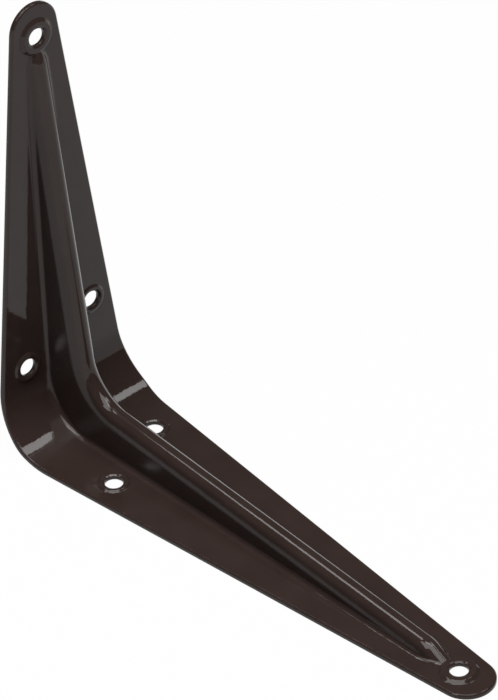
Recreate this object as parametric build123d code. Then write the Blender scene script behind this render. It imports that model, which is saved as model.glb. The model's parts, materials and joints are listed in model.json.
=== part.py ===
from build123d import *
import math
import os

# Angle bracket, pressed from one tapered strip of sheet steel and folded to a right angle.
# X runs along the long arm, Z up the short arm and Y across the sheet. The outer faces
# of the two arms lie in the planes X = 0 and Z = 0, and the origin is where they meet.
# The front of the sheet is the side that faces into the angle.

# Sheet and fold
SHORT_ARM = 100.0          # height of the upright arm
LONG_ARM = 125.0           # length of the lying arm
SHEET = 1.0                # thickness of the steel
FOLD_RADIUS = 12.5         # radius of the fold, on the front of the sheet
END_RADIUS = 5.75          # rounded end of each arm
SHORT_HEEL_WIDTH = 33.9    # width that the upright arm's taper reaches at the heel
LONG_HEEL_WIDTH = 34.6     # width that the lying arm's taper reaches at the heel
HEEL_ROUNDING = 20.0       # rounds the outline where the two tapers meet
EDGE_BEVEL = 0.3           # broken edge round the front of the sheet

# Pressed rib, hollow from behind
RIB_HOLLOW_RADIUS = 0.8    # radius of the crest, inside the hollow
RIB_CREST_TURN = 35.0      # turn of the crest to either side of its top, in degrees
RIB_FLANK_RADIUS = 3.0     # radius of the wider rounds below the crest, inside the hollow
RIB_DRAFT = 8.0            # lean of the rib's walls, in degrees
RIB_ROOT_RADIUS = 1.2      # round between the rib's walls and the front of the sheet
RIB_TURN_RADIUS = 9.0      # turn of the crest in the corner
SHORT_HEEL_RISE = 10.0     # crest above the upright arm, where the fold begins
SHORT_NOSE_RISE = 1.7      # crest above the upright arm, where its nose begins
LONG_HEEL_RISE = 9.5       # crest above the lying arm, where the fold begins
LONG_NOSE_RISE = 3.0       # crest above the lying arm, where its nose begins
NOSE_SLOPE = 28.0          # fall of the noses at the ends of the rib, in degrees
NOSE_BACKSET = 2.0         # centre of each nose's round, behind the back of the sheet
NOSE_REACH = 2.4           # tip of each nose on the sheet, from the middle of the end hole

# Screw holes, each in a boss that is pressed forward
HOLE_RADIUS = 1.9          # clearance hole for a 3.5 mm screw
LIP_WIDTH = 0.5            # bevelled mouth of each hole, across the hole
LIP_DEPTH = 0.3            # bevelled mouth of each hole, along the hole
BOSS_SLOPE = 40.0          # slope of the bosses' sides, in degrees
END_BOSS_RADIUS = 3.4      # top of the boss around an end hole
END_BOSS_RISE = 0.6        # height of that boss above the sheet
INNER_BOSS_RADIUS = 2.9    # top of the boss around an inner hole
INNER_BOSS_RISE = 0.4      # height of that boss above the sheet
SHORT_END_HOLE = 7.4       # end hole of the upright arm, from the arm's end
LONG_END_HOLE = 7.9        # end hole of the lying arm, from the arm's end
HOLE_OFFSET = 8.7          # inner holes, to either side of the rib
SHORT_LOW_HOLE = 16.6      # upright arm's hole on the -Y side, above the heel
SHORT_HIGH_HOLE = 24.4     # upright arm's hole on the +Y side, above the heel
LONG_NEAR_HOLE = 18.4      # lying arm's hole on the +Y side, out from the heel
LONG_FAR_HOLE = 26.1       # lying arm's hole on the -Y side, out from the heel

# Derived sizes
OUTER_FOLD = FOLD_RADIUS + SHEET
HOLLOW_ROOT_RADIUS = RIB_ROOT_RADIUS + SHEET
ROOM = LONG_ARM + SHORT_ARM   # reach of the solids that trim or cut right through
TOUCH = 0.001                 # points nearer than this lie on each other

# Fronts of the arms: local Y runs from the heel to the arm's end, local Z out of the sheet
SHORT_FRONT = Plane(origin=(SHEET, 0, 0), x_dir=(0, 1, 0), z_dir=(1, 0, 0))
LONG_FRONT = Plane(origin=(0, 0, SHEET), x_dir=(0, -1, 0), z_dir=(0, 0, 1))


def angle_space(depth):
    """The space inside the angle, from a depth in the sheet above its outer faces."""
    corner = (Align.MIN, Align.CENTER, Align.MIN)
    block = Pos(depth, 0, depth) * Box(ROOM, ROOM, ROOM, align=corner)
    heel = block.edges().filter_by(Axis.Y).sort_by(lambda edge: edge.center().X + edge.center().Z)[0]
    return block.fillet(OUTER_FOLD - depth, [heel])


def arm_outline(length, heel_width):
    """Outline of an arm: straight sides that taper into a round end; it runs on past the heel."""
    half = heel_width / 2
    end_centre = length - END_RADIUS
    taper = math.acos(END_RADIUS / math.hypot(half, end_centre)) - math.atan2(end_centre, half)
    side_x = END_RADIUS * math.cos(taper)
    side_y = end_centre + END_RADIUS * math.sin(taper)
    wide = half + OUTER_FOLD * math.tan(taper)
    return make_face([
        Line((-wide, -OUTER_FOLD), (wide, -OUTER_FOLD)),
        Line((wide, -OUTER_FOLD), (side_x, side_y)),
        ThreePointArc((side_x, side_y), (0, length), (-side_x, side_y)),
        Line((-side_x, side_y), (-wide, -OUTER_FOLD)),
    ])


def blank_outline():
    """Outlines of both arms, carried through a thick angle and rounded where their tapers meet."""
    # The thick angle has plane sides only, and none of its own corners near that meeting
    bevel = OUTER_FOLD / 2
    angle = make_face(Polyline(
        (bevel, -bevel),
        (ROOM, -bevel),
        (ROOM, OUTER_FOLD),
        (OUTER_FOLD, OUTER_FOLD),
        (OUTER_FOLD, ROOM),
        (-bevel, ROOM),
        (-bevel, bevel),
        close=True,
    ))
    thick = extrude(Plane.XZ * angle, ROOM, both=True)
    short_outline = extrude(SHORT_FRONT * arm_outline(SHORT_ARM, SHORT_HEEL_WIDTH), ROOM, both=True)
    long_outline = extrude(LONG_FRONT * arm_outline(LONG_ARM, LONG_HEEL_WIDTH), ROOM, both=True)
    outline = thick & short_outline & long_outline
    straight = outline.edges().filter_by(GeomType.LINE)
    meetings = [edge for edge in straight if (edge % 0).X * (edge % 0).Z > TOUCH]
    return outline.fillet(HEEL_ROUNDING, meetings)


def folded_strip():
    """The plain folded strip, with its double taper and its broken front edge."""
    front_space = angle_space(SHEET)
    strip = (angle_space(0) - front_space) & blank_outline()

    around = strip.edges() - strip.edges().filter_by(Axis.Y)
    front_rim = [edge for edge in around if front_space.distance_to(edge @ 0.5) < TOUCH]
    return strip.chamfer(EDGE_BEVEL, None, front_rim)


def crest_runs():
    """Straight runs and rounds of the rib's crest, in the plane Y = 0, from nose to nose."""
    fall = math.tan(math.radians(NOSE_SLOPE))
    short_tip = SHORT_ARM - SHORT_END_HOLE - NOSE_REACH
    long_tip = LONG_ARM - LONG_END_HOLE - NOSE_REACH
    short_knee = short_tip - SHORT_NOSE_RISE / fall
    long_knee = long_tip - LONG_NOSE_RISE / fall

    # The two crests taper towards the noses and meet in the corner
    short_taper = (SHORT_HEEL_RISE - SHORT_NOSE_RISE) / (short_knee - OUTER_FOLD)
    long_taper = (LONG_HEEL_RISE - LONG_NOSE_RISE) / (long_knee - OUTER_FOLD)
    short_foot = SHEET + SHORT_HEEL_RISE + short_taper * OUTER_FOLD
    long_foot = SHEET + LONG_HEEL_RISE + long_taper * OUTER_FOLD
    corner_x = (short_foot - short_taper * long_foot) / (1 - short_taper * long_taper)
    corner_z = long_foot - long_taper * corner_x

    # Each nose runs on, through the sheet and out behind it
    sunk = SHEET + NOSE_BACKSET
    crest = FilletPolyline(
        (SHEET - sunk, short_tip + sunk / fall),
        (SHEET + SHORT_NOSE_RISE, short_knee),
        (corner_x, corner_z),
        (long_knee, SHEET + LONG_NOSE_RISE),
        (long_tip + sunk / fall, SHEET - sunk),
        radius=[nose_radius(SHORT_NOSE_RISE), RIB_TURN_RADIUS, nose_radius(LONG_NOSE_RISE)],
    )
    path = Plane.XZ * crest
    return path.edges().sort_by(path)


def nose_radius(rise):
    """Round between the crest and a nose, struck from a point behind the sheet."""
    return rise + SHEET + NOSE_BACKSET


def rib_section(skin, depth):
    """Section of the rib, a skin outside its hollow, across local X: crest, wider rounds and leaning walls."""
    crest_y = -SHEET - RIB_HOLLOW_RADIUS
    lean = math.radians(RIB_CREST_TURN)
    apart = RIB_FLANK_RADIUS - RIB_HOLLOW_RADIUS
    flank_x = apart * math.sin(lean)
    flank_y = crest_y - apart * math.cos(lean)
    flank_turn = 90 - RIB_CREST_TURN - RIB_DRAFT

    # The rounds pass into each other, so each has its centre on the other side of the middle
    crest = CenterArc((0, crest_y), RIB_HOLLOW_RADIUS + skin, 90 - RIB_CREST_TURN, 2 * RIB_CREST_TURN)
    right = CenterArc((-flank_x, flank_y), RIB_FLANK_RADIUS + skin, RIB_DRAFT, flank_turn)
    left = CenterArc((flank_x, flank_y), RIB_FLANK_RADIUS + skin, 90 + RIB_CREST_TURN, flank_turn)
    wall_top = right @ 0
    foot_x = wall_top.X + (wall_top.Y + depth) * math.tan(math.radians(RIB_DRAFT))
    return make_face([
        Line((-foot_x, -depth), (foot_x, -depth)),
        Line((foot_x, -depth), right @ 0),
        right,
        crest,
        left,
        Line(left @ 1, (-foot_x, -depth)),
    ])


def rib_form(skin):
    """The rib's section carried along the crest; it stays shallow in the noses, which curve backwards."""
    short_depth = nose_radius(SHORT_NOSE_RISE) - NOSE_BACKSET / 2
    long_depth = nose_radius(LONG_NOSE_RISE) - NOSE_BACKSET / 2
    full_depth = OUTER_FOLD + RIB_TURN_RADIUS
    depths = [short_depth] * 2 + [full_depth] * 3 + [long_depth] * 2
    runs = []
    for run, depth in zip(crest_runs(), depths):
        start = Plane(origin=run @ 0, x_dir=(0, 1, 0), z_dir=run % 0)
        runs.append(sweep(start * rib_section(skin, depth), path=run))
    return runs[0].fuse(*runs[1:])


def pressed_strip(bosses):
    """The strip with the bosses, and the rib pressed up in front and hollow behind at an even thickness."""
    strip = folded_strip()
    rib = rib_form(SHEET) & angle_space(0)
    ribbed = strip + rib
    ribbed = ribbed.fillet(RIB_ROOT_RADIUS, new_edges(strip, rib, combined=ribbed))
    raised = ribbed.fuse(*bosses)

    hollow = rib_form(0)
    pressed = raised - hollow
    return pressed.fillet(HOLLOW_ROOT_RADIUS, new_edges(raised, hollow, combined=pressed))


def boss_front(radius, rise):
    """Front of a boss, along local Z from the front of the sheet: a flat top and a sloping side."""
    foot = radius + (rise + SHEET / 2) / math.tan(math.radians(BOSS_SLOPE))
    profile = make_face(Polyline(
        (0, -SHEET / 2),
        (foot, -SHEET / 2),
        (radius, rise),
        (0, rise),
        close=True,
    ))
    return revolve(Plane.XZ * profile, Axis.Z)


def boss_punch(radius, rise):
    """What a boss loses, along local Z: its hole with a bevelled mouth, and the hollow behind it."""
    slope = math.radians(BOSS_SLOPE)
    hollow_top = radius - SHEET * math.tan(slope / 2)
    hollow_end = hollow_top + (rise + SHEET) / math.tan(slope)
    profile = make_face(Polyline(
        (0, -2 * SHEET),
        (hollow_end, -2 * SHEET),
        (hollow_top, rise - SHEET),
        (HOLE_RADIUS, rise - SHEET),
        (HOLE_RADIUS, rise - LIP_DEPTH),
        (HOLE_RADIUS + LIP_WIDTH, rise),
        (HOLE_RADIUS + LIP_WIDTH, 2 * SHEET),
        (0, 2 * SHEET),
        close=True,
    ))
    return revolve(Plane.XZ * profile, Axis.Z)


def bracket():
    """The finished bracket: three screw holes in each arm, the inner ones staggered across the rib."""
    end_places = [
        SHORT_FRONT * Pos(0, SHORT_ARM - SHORT_END_HOLE),
        LONG_FRONT * Pos(0, LONG_ARM - LONG_END_HOLE),
    ]
    inner_places = [
        SHORT_FRONT * Pos(-HOLE_OFFSET, SHORT_LOW_HOLE),
        SHORT_FRONT * Pos(HOLE_OFFSET, SHORT_HIGH_HOLE),
        LONG_FRONT * Pos(-HOLE_OFFSET, LONG_NEAR_HOLE),
        LONG_FRONT * Pos(HOLE_OFFSET, LONG_FAR_HOLE),
    ]
    bosses = [place * boss_front(END_BOSS_RADIUS, END_BOSS_RISE) for place in end_places]
    bosses += [place * boss_front(INNER_BOSS_RADIUS, INNER_BOSS_RISE) for place in inner_places]
    punches = [place * boss_punch(END_BOSS_RADIUS, END_BOSS_RISE) for place in end_places]
    punches += [place * boss_punch(INNER_BOSS_RADIUS, INNER_BOSS_RISE) for place in inner_places]
    return pressed_strip(bosses).cut(*punches)


os.makedirs("parts", exist_ok=True)
export_step(bracket(), "parts/bracket.step")
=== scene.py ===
"""Angle bracket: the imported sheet-steel solid, dressed in dark enamel and lit in a small studio."""

import json
import logging
import math
from dataclasses import dataclass
from typing import Any

import bpy
from mathutils import Matrix, Vector

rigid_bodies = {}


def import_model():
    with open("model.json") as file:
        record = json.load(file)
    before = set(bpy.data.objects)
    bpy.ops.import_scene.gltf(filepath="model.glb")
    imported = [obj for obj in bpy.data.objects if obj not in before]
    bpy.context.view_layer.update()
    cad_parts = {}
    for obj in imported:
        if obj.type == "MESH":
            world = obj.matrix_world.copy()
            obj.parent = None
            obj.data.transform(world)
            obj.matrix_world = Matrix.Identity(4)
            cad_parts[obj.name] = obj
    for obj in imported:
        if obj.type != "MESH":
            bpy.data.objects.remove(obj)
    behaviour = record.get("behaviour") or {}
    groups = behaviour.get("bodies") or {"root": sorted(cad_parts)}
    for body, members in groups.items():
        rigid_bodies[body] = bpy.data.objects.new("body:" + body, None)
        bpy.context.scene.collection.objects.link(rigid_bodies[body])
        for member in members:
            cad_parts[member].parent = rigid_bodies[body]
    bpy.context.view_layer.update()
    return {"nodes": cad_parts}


LOG = logging.getLogger("angle_bracket")
MM = 0.001
CAMERA_AZIMUTH = 50.046

Colour = tuple[float, float, float]
Point = tuple[float, float, float]
Socket = bpy.types.NodeSocket


class NodeSheet:
    """Small helper that adds and links nodes in one node tree."""

    def __init__(self, tree: bpy.types.NodeTree) -> None:
        """Start from an empty tree.

        Args:
            tree: The node tree to fill.
        """
        self.tree = tree
        tree.nodes.clear()

    def add(self, kind: str, options: dict[str, Any] | None = None, **inputs: Any) -> bpy.types.Node:
        """Add a node, choose its options and set its inputs.

        Args:
            kind: The node's type name.
            options: Attributes of the node, such as operation.
            inputs: Values of input sockets, by their names in lower case with underscores.

        Returns:
            The new node.
        """
        node = self.tree.nodes.new(kind)
        for name, value in (options or {}).items():
            setattr(node, name, value)
        for name, value in inputs.items():
            self.socket(node, name).default_value = value
        return node

    @staticmethod
    def socket(node: bpy.types.Node, name: str) -> Socket:
        """Find an input by its name in lower case with underscores.

        Args:
            node: The node that has the input.
            name: The input's name, such as base_color.

        Returns:
            The input socket.
        """
        for item in node.inputs:
            if item.name.lower().replace(" ", "_") == name:
                return item
        raise KeyError(f"{node.name} has no input {name}")

    def link(self, source: Socket, target: Socket) -> None:
        """Join an output to an input."""
        self.tree.links.new(source, target)


@dataclass(frozen=True)
class EnamelFinish:
    """Dark brown stoved enamel on pressed steel, duller on steep walls and cut edges, where painted
    shade also darkens its colour.

    A wall's share runs from 0 at wall_starts to 1 at wall_full, both given as the part of the
    face's normal that points across the sheet.
    """

    name: str = "dark_brown_enamel"
    colour: Colour = (0.0322, 0.0208, 0.0177)
    thin_colour: Colour = (0.0278, 0.0176, 0.0148)
    thin_below: float = 0.35
    full_above: float = 0.65
    tone_size: float = 9.0 * MM
    tone_detail: float = 3.0
    ior: float = 1.34
    roughness: float = 0.05
    wall_starts: float = 0.70
    wall_full: float = 0.95
    wall_roughness: float = 0.24
    wall_peel: float = 3.0
    # Painted shade: share of the base colour left on steep walls and cut edges.
    wall_painted_shade: float = 0.50
    edge_round: float = 0.36 * MM
    edge_samples: int = 8
    wave_size: float = 7.0 * MM
    wave_height: float = 0.05 * MM
    wave_detail: float = 1.0
    peel_size: float = 0.9 * MM
    peel_height: float = 0.008 * MM
    peel_detail: float = 2.0

    def build(self) -> bpy.types.Material:
        """Make the material.

        Returns:
            The enamel material.
        """
        material = bpy.data.materials.new(self.name)
        material.use_nodes = True
        sheet = NodeSheet(material.node_tree)
        output = sheet.add("ShaderNodeOutputMaterial")
        shader = sheet.add("ShaderNodeBsdfPrincipled", ior=self.ior)
        place = sheet.add("ShaderNodeTexCoord").outputs["Object"]
        steep = self.steepness(sheet)
        dull = self.toward_wall(sheet, steep, self.roughness, self.wall_roughness)
        sheet.link(self.coat_colour_and_painted_shade(sheet, place, steep), shader.inputs["Base Color"])
        sheet.link(dull, shader.inputs["Roughness"])
        sheet.link(self.relief(sheet, place, steep), shader.inputs["Normal"])
        sheet.link(shader.outputs["BSDF"], output.inputs["Surface"])
        return material

    def steepness(self, sheet: NodeSheet) -> Socket:
        """Measure how far a face leans over into a wall.

        Args:
            sheet: The node tree to add to.

        Returns:
            The part of the normal that points across the sheet, from 0 to 1.
        """
        geometry = sheet.add("ShaderNodeNewGeometry")
        lean = sheet.add("ShaderNodeSeparateXYZ")
        steep = sheet.add("ShaderNodeMath", {"operation": "ABSOLUTE"})
        sheet.link(geometry.outputs["Normal"], lean.inputs[0])
        sheet.link(lean.outputs["Y"], steep.inputs[0])
        return steep.outputs[0]

    def toward_wall(self, sheet: NodeSheet, steep: Socket, flat: float, wall: float) -> Socket:
        """Blend a value from the flats to the walls.

        Args:
            sheet: The node tree to add to.
            steep: How far the face leans over into a wall.
            flat: The value on the flats.
            wall: The value on steep walls and cut edges.

        Returns:
            The blended value.
        """
        blend = sheet.add(
            "ShaderNodeMapRange",
            from_min=self.wall_starts,
            from_max=self.wall_full,
            to_min=flat,
            to_max=wall,
        )
        sheet.link(steep, blend.inputs["Value"])
        return blend.outputs["Result"]

    def coat_colour_and_painted_shade(self, sheet: NodeSheet, place: Socket, steep: Socket) -> Socket:
        """Mix the coat's two tones in soft patches and darken the steep walls and cut edges with painted
        shade.

        Args:
            sheet: The node tree to add to.
            place: The place on the object.
            steep: How far the face leans over into a wall.

        Returns:
            The coat's colour, with the painted shade on the walls.
        """
        tone = sheet.add("ShaderNodeTexNoise", scale=1 / self.tone_size, detail=self.tone_detail)
        colour = sheet.add("ShaderNodeValToRGB")
        thin, full = colour.color_ramp.elements
        thin.position = self.thin_below
        thin.color = (*self.thin_colour, 1)
        full.position = self.full_above
        full.color = (*self.colour, 1)
        coat = sheet.add("ShaderNodeVectorMath", {"operation": "SCALE"})
        sheet.link(place, tone.inputs["Vector"])
        sheet.link(tone.outputs["Fac"], colour.inputs["Fac"])
        sheet.link(colour.outputs["Color"], coat.inputs[0])
        # Painted shade: scale the colour down on steep walls and cut edges.
        sheet.link(self.toward_wall(sheet, steep, 1.0, self.wall_painted_shade), coat.inputs["Scale"])
        return coat.outputs["Vector"]

    def relief(self, sheet: NodeSheet, place: Socket, steep: Socket) -> Socket:
        """Soften the small edges and add the coat's slow waves and fine peel.

        Args:
            sheet: The node tree to add to.
            place: The place on the object.
            steep: How far the face leans over into a wall.

        Returns:
            The coat's normal.
        """
        softened = sheet.add("ShaderNodeBevel", {"samples": self.edge_samples}, radius=self.edge_round)
        wave = sheet.add("ShaderNodeTexNoise", scale=1 / self.wave_size, detail=self.wave_detail)
        peel = sheet.add("ShaderNodeTexNoise", scale=1 / self.peel_size, detail=self.peel_detail)
        grain = sheet.add("ShaderNodeMath", {"operation": "MULTIPLY"})
        wave_bump = sheet.add("ShaderNodeBump", strength=1.0, distance=self.wave_height)
        peel_bump = sheet.add("ShaderNodeBump", strength=1.0, distance=self.peel_height)
        sheet.link(place, wave.inputs["Vector"])
        sheet.link(place, peel.inputs["Vector"])
        sheet.link(peel.outputs["Fac"], grain.inputs[0])
        sheet.link(self.toward_wall(sheet, steep, 1.0, self.wall_peel), grain.inputs[1])
        sheet.link(wave.outputs["Fac"], wave_bump.inputs["Height"])
        sheet.link(grain.outputs[0], peel_bump.inputs["Height"])
        sheet.link(softened.outputs["Normal"], wave_bump.inputs["Normal"])
        sheet.link(wave_bump.outputs["Normal"], peel_bump.inputs["Normal"])
        return peel_bump.outputs["Normal"]


@dataclass
class PressedBracket:
    """The bracket itself: one pressed and folded sheet."""

    node: str = "bracket"
    finish: EnamelFinish = EnamelFinish()

    def dress(self, solid: bpy.types.Object) -> bpy.types.Object:
        """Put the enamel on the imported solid.

        Args:
            solid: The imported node's object.

        Returns:
            The same object, dressed.
        """
        enamel = self.finish.build()
        for slot in solid.material_slots:
            slot.material = enamel
        return solid


@dataclass
class WhiteFloor:
    """Large white floor that the bracket stands on."""

    half_size: float = 4.0
    gap: float = 0.02 * MM
    white: Colour = (0.62, 0.62, 0.62)
    glow_share: float = 0.965

    def build(self) -> bpy.types.Object:
        """Make the floor just below the bracket.

        Returns:
            The floor object.
        """
        mesh = bpy.data.meshes.new("floor")
        h = self.half_size
        mesh.from_pydata([(-h, -h, 0), (h, -h, 0), (h, h, 0), (-h, h, 0)], [], [(0, 1, 2, 3)])
        mesh.materials.append(self.material())
        floor = bpy.data.objects.new("floor", mesh)
        floor.location.z = -self.gap
        bpy.context.scene.collection.objects.link(floor)
        return floor

    def material(self) -> bpy.types.Material:
        """White for the camera and in reflections, with a soft shadow.

        Returns:
            The floor's material.
        """
        material = bpy.data.materials.new("white_floor")
        material.use_nodes = True
        sheet = NodeSheet(material.node_tree)
        output = sheet.add("ShaderNodeOutputMaterial")
        paper = sheet.add("ShaderNodeBsdfDiffuse", color=(*self.white, 1))
        glow = sheet.add("ShaderNodeEmission", color=(1, 1, 1, 1), strength=1.0)
        path = sheet.add("ShaderNodeLightPath")
        seen = sheet.add("ShaderNodeMath", {"operation": "MAXIMUM"})
        seen_through = sheet.add("ShaderNodeMath", {"operation": "MAXIMUM"})
        share = sheet.add("ShaderNodeMath", {"operation": "MULTIPLY"})
        share.inputs[1].default_value = self.glow_share
        mix = sheet.add("ShaderNodeMixShader")
        sheet.link(path.outputs["Is Camera Ray"], seen.inputs[0])
        sheet.link(path.outputs["Is Glossy Ray"], seen.inputs[1])
        sheet.link(seen.outputs[0], seen_through.inputs[0])
        sheet.link(path.outputs["Is Transmission Ray"], seen_through.inputs[1])
        sheet.link(seen_through.outputs[0], share.inputs[0])
        sheet.link(share.outputs[0], mix.inputs[0])
        sheet.link(paper.outputs[0], mix.inputs[1])
        sheet.link(glow.outputs[0], mix.inputs[2])
        sheet.link(mix.outputs[0], output.inputs["Surface"])
        return material


@dataclass(frozen=True)
class Softbox:
    """A level rectangular softbox above the bracket, placed as the camera sees it, in metres."""

    name: str
    left: float
    right: float
    front: float
    back: float
    radiance: float
    height: float = 1.0

    def build(self, aim: Vector, azimuth: float) -> bpy.types.Object:
        """Hang the lamp.

        Args:
            aim: The point that the lamp's place is measured from.
            azimuth: The camera's azimuth, in degrees.

        Returns:
            The lamp object.
        """
        width = self.right - self.left
        depth = self.back - self.front
        lamp = bpy.data.lights.new(self.name, "AREA")
        lamp.shape = "RECTANGLE"
        lamp.size = width
        lamp.size_y = depth
        lamp.energy = self.radiance * math.pi * width * depth
        centre = Vector(((self.left + self.right) / 2, (self.front + self.back) / 2, self.height))
        turn = math.radians(azimuth)
        holder = bpy.data.objects.new(self.name, lamp)
        holder.location = aim + Matrix.Rotation(turn, 3, "Z") @ centre
        holder.rotation_euler.z = turn
        bpy.context.scene.collection.objects.link(holder)
        return holder


@dataclass
class Studio:
    """Dim room with a lighter backdrop behind the bracket, and softboxes above it."""

    aim: Point = (50 * MM, 0, 25 * MM)
    azimuth: float = CAMERA_AZIMUTH
    room: Colour = (0.05, 0.048, 0.048)
    room_ends: float = 0.1
    backdrop: Colour = (0.10, 0.097, 0.095)
    backdrop_starts: float = 0.5
    softboxes: tuple[Softbox, ...] = (
        Softbox("overhead_softbox", left=-0.34, right=0.38, front=-0.18, back=-0.02, radiance=10.0),
        Softbox("right_softbox", left=0.36, right=0.69, front=0.02, back=0.32, radiance=7.6),
        Softbox("left_softbox", left=-0.64, right=-0.36, front=0.06, back=0.40, radiance=8.0),
        Softbox("front_softbox", left=-1.05, right=0.42, front=-0.76, back=-0.18, radiance=4.9),
    )

    def build(self) -> list[bpy.types.Object]:
        """Light the room and hang the lamps.

        Returns:
            The lamp objects.
        """
        self.light_room()
        return [softbox.build(Vector(self.aim), self.azimuth) for softbox in self.softboxes]

    def light_room(self) -> bpy.types.World:
        """Make the room's own dim light.

        Returns:
            The world.
        """
        world = bpy.data.worlds.new("room")
        bpy.context.scene.world = world
        world.use_nodes = True
        sheet = NodeSheet(world.node_tree)
        output = sheet.add("ShaderNodeOutputWorld")
        background = sheet.add("ShaderNodeBackground", strength=1.0)
        coordinates = sheet.add("ShaderNodeTexCoord")
        behind = sheet.add("ShaderNodeVectorMath", {"operation": "DOT_PRODUCT"})
        turn = math.radians(self.azimuth)
        behind.inputs[1].default_value = (-math.sin(turn), math.cos(turn), 0)
        walls = sheet.add("ShaderNodeValToRGB")
        front, back = walls.color_ramp.elements
        front.position = self.room_ends
        front.color = (*self.room, 1)
        back.position = self.backdrop_starts
        back.color = (*self.backdrop, 1)
        sheet.link(coordinates.outputs["Generated"], behind.inputs[0])
        sheet.link(behind.outputs["Value"], walls.inputs["Fac"])
        sheet.link(walls.outputs["Color"], background.inputs["Color"])
        sheet.link(background.outputs[0], output.inputs["Surface"])
        return world


@dataclass
class PhotographCamera:
    """Camera at the photograph's viewing angle."""

    azimuth: float = CAMERA_AZIMUTH
    elevation: float = 37.121
    roll: float = -3.266
    distance: float = 1200 * MM
    target: Point = (49.685 * MM, 8.642 * MM, 37.549 * MM)
    sensor: float = 36.0
    lens: float = 315.95

    def build(self) -> bpy.types.Object:
        """Place the camera and make it the scene's.

        Returns:
            The camera object.
        """
        azimuth = math.radians(self.azimuth)
        elevation = math.radians(self.elevation)
        roll = math.radians(self.roll)
        back = Vector((
            math.sin(azimuth) * math.cos(elevation),
            -math.cos(azimuth) * math.cos(elevation),
            math.sin(elevation),
        ))
        level = Vector((math.cos(azimuth), math.sin(azimuth), 0))
        right = math.cos(roll) * level + math.sin(roll) * back.cross(level)
        up = back.cross(right)
        data = bpy.data.cameras.new("camera")
        data.sensor_fit = "VERTICAL"
        data.sensor_height = self.sensor
        data.lens = self.lens
        camera = bpy.data.objects.new("camera", data)
        place = Vector(self.target) + self.distance * back
        camera.matrix_world = Matrix.Translation(place) @ Matrix((right, up, back)).transposed().to_4x4()
        bpy.context.scene.collection.objects.link(camera)
        bpy.context.scene.camera = camera
        return camera


def main() -> None:
    """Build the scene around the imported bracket."""
    logging.basicConfig(level=logging.INFO)
    for thing in list(bpy.data.objects):
        bpy.data.objects.remove(thing)
    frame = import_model()
    bracket = PressedBracket()
    dressed = bracket.dress(frame["nodes"][bracket.node])
    LOG.info("dressed %s", dressed.name)
    LOG.info("laid %s", WhiteFloor().build().name)
    for lamp in Studio().build():
        LOG.info("hung %s", lamp.name)
    LOG.info("placed %s", PhotographCamera().build().name)
    bpy.context.scene.view_settings.view_transform = "Standard"


if __name__ == "__main__":
    main()
